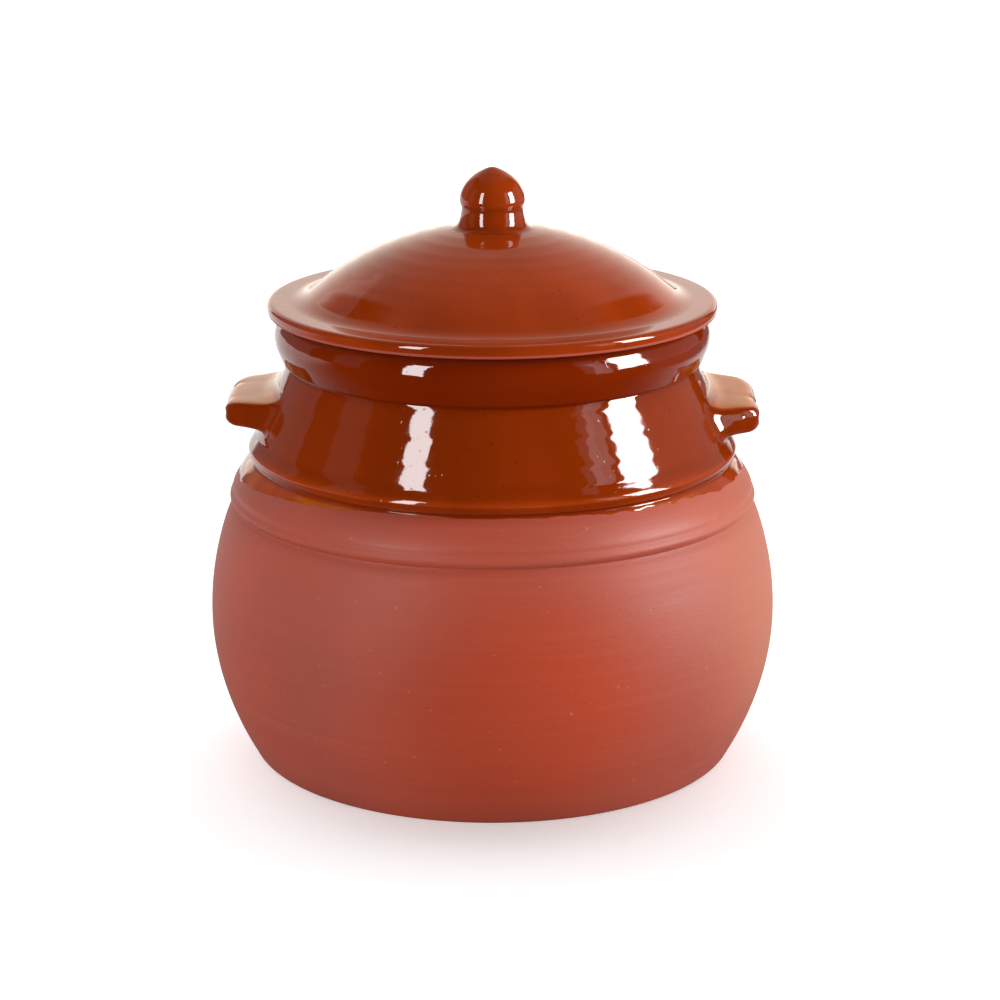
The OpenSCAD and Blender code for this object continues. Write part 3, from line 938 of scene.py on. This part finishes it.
def slide_edge(piece):
    """Slides the rows below the groove so that the last of them lies on the glaze's edge, and lays
    the glaze near its edge on the clay."""
    mesh = piece.data
    places = vectors(mesh.vertices, "co")
    thin, below, lift = marks_of(mesh).T
    on_shoulder = below > 0
    azimuth = np.arctan2(places[:, 0], -places[:, 1])
    length = edge_length(azimuth)
    slid_below = np.where(on_shoulder, below * length / EDGE_REACH, below)
    to_edge = length - slid_below

    def turned(rows):
        out, up = (np.interp(EDGE_REACH - slid_below, coat_run, rows[:, k]) for k in (0, 1))
        return np.column_stack([out * np.sin(azimuth), -out * np.cos(azimuth), up])

    clean = turned(coat_path)
    ways = turned(outward(coat_path))
    hug = np.zeros(len(places))
    closeness = 1 - eased(to_edge / HUG_REACH - HUG_FULL)
    for i in np.flatnonzero(to_edge < HUG_REACH):
        hug[i] = max(clay_offset(clean[i], ways[i]), -HUG_DEPTH) * closeness[i]
    face = ~np.isclose(lift, -GLAZE_SINK)
    height_over = bead(to_edge, SWELL * drips(azimuth))
    slid = clean + (np.where(face, height_over, lift) + hug)[:, None] * ways
    above = face & ~on_shoulder & (to_edge < HUG_REACH)
    places[above] += (height_over - GLAZE + hug)[above, None] * ways[above]
    places[on_shoulder] = slid[on_shoulder]
    mesh.vertices.foreach_set("co", places.astype(np.float32).ravel())
    amber = np.clip(slid_below / AMBER_RUN + AMBER_FROM, *AMBER_LIMITS)
    set_thin(mesh, np.where(on_shoulder, amber, thin))
    edge_heights = slid[on_shoulder, 2] / MM
    print("glaze edge: heights %.1f to %.1f mm" % (edge_heights.min(), edge_heights.max()))


# Writes how thin the glaze lies, together with the painted light and shade that ride on the same
# values.
def set_thin(mesh, values):
    layer = mesh.attributes.new("thin", "FLOAT", "POINT")
    layer.data.foreach_set("value", np.ascontiguousarray(values, dtype=np.float32))
    if "glaze" in mesh.attributes:
        mesh.attributes.remove(mesh.attributes["glaze"])
    mesh.update()


slide_edge(glaze_coat)
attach(glaze_coat, "pot")
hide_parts("pot_glaze")

# %% [markdown]
# ## The lugs
# Each lug is a thick strap of clay pressed onto the neck. Its root is worked into the wall on all
# sides, and its outer edge is pinched with the fingertips into lobes. It could be sculpted; here it
# is lofted from rings with rounded corners: they start flared on the wall, narrow to the strap,
# and close in a rounded nose. Smoothing then takes away what looks machined.

# %% Sections of a lug
LUG_INSET = 1.2 * MM
LUG_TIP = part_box("right_handle")[1].x - LUG_INSET
LUG_FRONT = -24.5 * MM
LUG_BACK = 29.0 * MM
LUG_ROOT = 3.0 * MM
SPLAY_UP = 1.8 * MM
SPLAY_DOWN = 1.2 * MM
SPLAY_SIDE = 8.0 * MM
# A flare or a rounded corner is given by its length and its depth.
FLARE_UP = (6.0 * MM, 4.0 * MM)
FLARE_DOWN = (6.0 * MM, 3.4 * MM)
FLARE_SIDE = (5.5 * MM, 4.5 * MM)
ROOT_DIP = 0.03 * MM
NOSE = 4.3 * MM
SIDE_POINTS = (28, 6)
ARC_POINTS = 8
ROOT_RINGS = 16
STRAP_RINGS = 8
NOSE_RINGS = 12


def rounded_ring(front, back, low, top, radius):
    """Points (across, up) round a rectangle with round corners, with the same count for every ring."""
    corners = ((back - radius, top - radius, 0), (front + radius, top - radius, 90),
               (front + radius, low + radius, 180), (back - radius, low + radius, 270))
    arcs, ring = [], []
    for across, up, turn in corners:
        angles = np.radians(turn + np.linspace(0, 90, ARC_POINTS))
        arcs.append(np.column_stack([across + radius * np.cos(angles), up + radius * np.sin(angles)]))
    for k, (arc, after) in enumerate(zip(arcs, arcs[1:] + arcs[:1])):
        share = np.linspace(0, 1, SIDE_POINTS[k % 2] + 2)[1:-1, None]
        ring.extend([arc, arc[-1] + share * (after[0] - arc[-1])])
    return np.concatenate(ring)


def corner_drop(into, size):
    """How far a rounded corner falls back, at a distance into it."""
    return size[1] * (1 - np.sqrt(1 - np.clip(into / size[0], 0, 1) ** 2))


NECK_FACE = face_of(glaze_coat)


def wall_reach(side, across, up):
    """How far out the glazed neck reaches on one side, at a place across and up."""
    start = Vector((side * (LUG_TIP + LUG_ROOT), across, up))
    return abs(NECK_FACE.ray_cast(start, Vector((-side, 0, 0)))[0].x)


print("lug: %.0f mm wide" % ((LUG_BACK - LUG_FRONT) / MM))

# %% Lobes and rings of a lug
FRONT_CORNER = (6.0 * MM, 5.0 * MM)
BACK_CORNER = (14.0 * MM, 8.0 * MM)
NOTCH_WIDTH = 2.2 * MM
LOBE_CREASE = 0.55 * MM
LOBES_FROM = 0.65
LEAST_ROUNDING = 0.8 * MM
SHARPER = 0.6


def lug_tip(across, notches):
    """Reach of the lug's outer edge across its width."""
    tip = LUG_TIP - corner_drop(LUG_FRONT + FRONT_CORNER[0] - across, FRONT_CORNER)
    tip = tip - corner_drop(across - LUG_BACK + BACK_CORNER[0], BACK_CORNER)
    for place, depth in notches:
        tip = tip - depth * MM * np.exp(-np.abs((across - place * MM) / NOTCH_WIDTH) ** 1.5)
    return tip


def lug_ring(hand, share, run, pull):
    """One ring of a lug, at a share of the way from wall to tip, drawn in by pull at the nose."""
    splay = 1 - share
    flares = (corner_drop(size[0] - run, size) for size in (FLARE_UP, FLARE_DOWN, FLARE_SIDE))
    flare_up, flare_down, flare_side = flares
    low = (hand["top"] - hand["thick"]) * MM - flare_down - SPLAY_DOWN * splay + pull
    top = hand["top"] * MM + flare_up + SPLAY_UP * splay - pull
    side = flare_side + SPLAY_SIDE * splay - pull
    rounding = hand["edge"] * MM + flare_side - SHARPER * pull
    ring = rounded_ring(LUG_FRONT - side, LUG_BACK + side, low, top, max(rounding, LEAST_ROUNDING))
    across, up = ring[:, 0], ring[:, 1] + hand["tilt"] * (ring[:, 0] - LUG_FRONT)
    middle = (low + top) / 2 + hand["tilt"] * (across - LUG_FRONT)
    outer = max(share - LOBES_FROM, 0) / (1 - LOBES_FROM)
    for place, depth in hand["notches"]:
        fold = np.exp(-((across - place * MM) / NOTCH_WIDTH) ** 2) * min(outer, 1) ** 2
        up = up - np.sign(up - middle) * LOBE_CREASE * depth * fold
    wall = np.array([wall_reach(hand["side"], a, u) for a, u in zip(across, up)])
    wall = wall - ROOT_DIP * math.exp(-run / MM)
    return np.column_stack([wall + share * (lug_tip(across, hand["notches"]) - wall), across, up])


def lug_rings(hand):
    reach = LUG_TIP - wall_reach(hand["side"], 0, (hand["top"] - hand["thick"] / 2) * MM)
    root = lug_ring(hand, 0, 0, 0) - np.array([LUG_ROOT, 0, 0])
    quarter = np.pi / 2
    runs = [(FLARE_UP[0] * (1 - math.cos(turn)), 0) for turn in np.linspace(0, quarter, ROOT_RINGS)]
    runs += [(run, 0) for run in np.linspace(FLARE_UP[0], reach - NOSE, STRAP_RINGS)[1:-1]]
    runs += [(reach - NOSE * (1 - math.sin(turn)), NOSE * (1 - math.cos(turn)))
             for turn in np.linspace(0, quarter, NOSE_RINGS)]
    return [root] + [lug_ring(hand, run / reach, run, pull) for run, pull in runs]


print("tip of the lug at x = %.1f mm" % (LUG_TIP / MM))

# %% Left and right lug
# Heights, thickness, edge and notches in millimetres; a notch has its place across and its depth.
HANDS = {
    "left_handle": {"side": -1, "top": 172.6, "thick": 10.6, "tilt": 0.022, "edge": 3.0,
                    "notches": ((14.0, 1.9), (-11.0, 0.4))},
    "right_handle": {"side": 1, "top": 170.2, "thick": 11.6, "tilt": 0.066, "edge": 4.6,
                     "notches": ((-5.5, 1.2),)},
}
LUG_SMOOTHING = 4
FIXED_RINGS = 3
# Painted light on the lugs' tops: the more a face looks up, the paler amber its glaze is made.
FACING_UP = (0.75, 0.95)
LUG_PAINTED_TOP_LIGHT = (0.05, 1.05)


def lug(name, hand):
    shape = bmesh.new()
    rings = [[shape.verts.new((hand["side"] * x, y, z)) for x, y, z in ring]
             for ring in lug_rings(hand)]
    count = len(rings[0])
    for ring, after in zip(rings, rings[1:]):
        for i in range(count):
            k = (i + 1) % count
            shape.faces.new((ring[i], ring[k], after[k], after[i]))
    for ring in (rings[0], rings[-1]):
        middle = shape.verts.new(sum((v.co for v in ring[1:]), ring[0].co.copy()) / count)
        for i in range(count):
            shape.faces.new((ring[i], ring[(i + 1) % count], middle))
    free = [v for ring in rings[FIXED_RINGS:] for v in ring]
    for _ in range(LUG_SMOOTHING):
        bmesh.ops.smooth_vert(shape, verts=free, factor=0.5,
                              use_axis_x=True, use_axis_y=True, use_axis_z=True)
    bmesh.ops.recalc_face_normals(shape, faces=shape.faces)
    mesh = bpy.data.meshes.new(name)
    shape.to_mesh(mesh)
    shape.free()
    mesh.shade_smooth()
    mesh.materials.append(HONEY_GLAZE)
    # painted light: faces that look up get paler amber glaze
    set_thin(mesh, np.interp([v.normal.z for v in mesh.vertices], FACING_UP, LUG_PAINTED_TOP_LIGHT))
    piece = put(name, mesh)
    print("%s: %d faces" % (name, len(mesh.polygons)))
    return piece


for node, hand in HANDS.items():
    piece = lug(node.replace("handle", "lug"), hand)
    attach(piece, "pot")
    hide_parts(node)

# %% [markdown]
# ## The lid
# The lid is thrown upside down as a shallow bowl with a flat rim, turned over and trimmed, and its
# top is glazed. Its clay and its glaze are two pieces again, thrown by the same tree.

# %% Lid clay and its glaze
LID_SOFTNESS = 0.45 * MM
lid_path = np.concatenate([LID_OUTLINE, on_axis(LID_OUTLINE[-1, 1])])
lid_path = softened(even(flowing(lid_path)), LID_SOFTNESS)
lid_clay = thrown("lid_clay", lid_path, chosen_rows(lid_path, 170), TERRACOTTA,
                  Columns=224, Wobble=0.08 * MM, Ring_Depth=0.03 * MM, Seed=5, **SPONGED)
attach(lid_clay, "lid")
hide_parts("lid_body")

LID_EDGE_UP = 1.0 * MM
LID_FLAT = 6.0 * MM
LID_THIN = (1.5 * MM, 0.42, -0.0005, 0.1, 0.42)
lid_flat = int(np.argmax(lid_path[:, 0])) - int(LID_FLAT / PATH_STEP)
lid_first = lid_flat + int(np.argmax(lid_path[lid_flat:, 1] > lid_path[lid_flat, 1] + LID_EDGE_UP))
lid_coat_path = lid_path[lid_first:]
lid_run = np.arange(len(lid_coat_path)) * PATH_STEP
lid_whole, lid_lift = shell(lid_coat_path, lid_run)
lid_thin = mirrored(thinness(lid_coat_path, *LID_THIN))
lid_marks = np.column_stack([lid_thin, np.zeros(len(lid_whole)), lid_lift])
lid_rows = shell_rows(lid_coat_path, 40, 150)
lid_relief = on_face(np.ones(len(lid_coat_path)))
lid_coat = thrown("lid_coat", lid_whole, lid_rows, HONEY_GLAZE, lid_marks, lid_relief,
                  Columns=256, Wobble=0.06 * MM, Ripple=0.008 * MM, Ripple_Size=16 * MM,
                  Ring_Depth=0.003 * MM, Ring_Pitch=9 * MM, Ring_Edge=1.0, Seed=6)
set_thin(lid_coat.data, marks_of(lid_coat.data)[:, 0])
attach(lid_coat, "lid")
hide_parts("lid_glaze")

# %% [markdown]
# ## The knob
# The knob is an acorn of clay with a groove under its cap. Slip and glaze fill the corner where it
# meets the dome, so its outline starts on the dome, just under the glaze, and is softened into it.

# %% Knob
KNOB_SKIRT = 7.0 * MM
KNOB_SOFTNESS = 0.8 * MM
KNOB_DIP = 0.05 * MM
KNOB_BLEND = 1.6 * MM
KNOB_CLEAR = 0.8 * MM
KNOB_ROOT = 1.0 * MM
FOOT_BLEND = (2.0 * MM, 5.0 * MM)
TIP_BLEND = (2.0 * MM, 6.0 * MM)
KNOB_THIN = (1.0 * MM, 0.25, 0.0010, -0.5, 0.6)
dome_face = lid_whole[len(lid_coat_path):]
foot_radius, foot_height = KNOB_OUTLINE[0]
beyond = dome_face[:, 0] - foot_radius
ring = dome_face[(beyond < KNOB_SKIRT) & (beyond > KNOB_CLEAR)] - np.array([0, KNOB_DIP])
under = ring[:1] - np.array([0, KNOB_ROOT])
knob_path = np.concatenate([on_axis(under[0, 1]), under, ring, KNOB_OUTLINE[2:]])
knob_path = softened(even(flowing(knob_path)), KNOB_SOFTNESS)
over_foot = knob_path[:, 1] - foot_height
near_foot = np.interp(over_foot, FOOT_BLEND, (1, 0))
near_tip = np.interp(knob_path[:, 0], TIP_BLEND, (1, 0)) * (over_foot > 0)
knob_path = softened(knob_path, KNOB_BLEND, np.maximum(near_foot, near_tip)[:, None])
knob_marks = np.column_stack([thinness(knob_path, *KNOB_THIN), np.zeros((len(knob_path), 2))])
knob = thrown("acorn_knob", knob_path, chosen_rows(knob_path, 120), HONEY_GLAZE, knob_marks,
              Columns=120, Wobble=0.10 * MM, Ripple=0.03 * MM, Ripple_Size=7 * MM,
              Ring_Depth=0.02 * MM, Ring_Pitch=6 * MM, Ring_Edge=1.0, Seed=9)
set_thin(knob.data, marks_of(knob.data)[:, 0])
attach(knob, "lid")
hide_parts("lid_knob")
